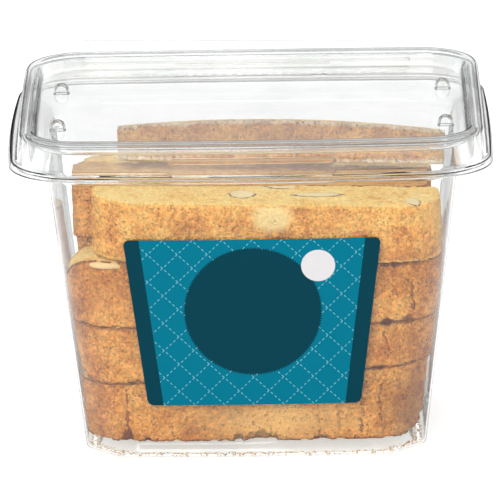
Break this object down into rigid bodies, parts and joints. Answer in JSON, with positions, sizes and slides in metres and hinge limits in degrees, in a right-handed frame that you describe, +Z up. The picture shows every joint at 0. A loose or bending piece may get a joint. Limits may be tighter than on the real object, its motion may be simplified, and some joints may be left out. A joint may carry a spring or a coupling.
{
  "type": "packed biscotti tub",
  "caption": "Clear tapered plastic tub with a press-on lid, a tear strip at the back and a plain blue-green front label, packed with long almond biscotti slices.",
  "frame": {"origin": "on the ground under the middle of the tub's outline", "axes": "+X to the right as the label is read, +Y to the back where the tear strip is, +Z up"},
  "size_m": [0.1612, 0.128, 0.1172],
  "materials": {
    "clear_plastic": "clear thin formed sheet, glossy",
    "label_film": "printed label, satin",
    "biscotto": null
  },
  "bodies": {
    "root": {"tub": "clear_plastic", "lid": "clear_plastic", "tear_strip": "clear_plastic", "label": "label_film", "biscotto_01": "biscotto", "biscotto_02": "biscotto", "biscotto_03": "biscotto", "biscotto_04": "biscotto", "biscotto_05": "biscotto", "biscotto_06": "biscotto", "biscotto_07": "biscotto", "biscotto_08": "biscotto", "biscotto_09": "biscotto", "biscotto_10": "biscotto", "biscotto_11": "biscotto", "biscotto_12": "biscotto", "biscotto_13": "biscotto", "biscotto_14": "biscotto", "biscotto_15": "biscotto", "biscotto_16": "biscotto"}
  },
  "joints": []
}
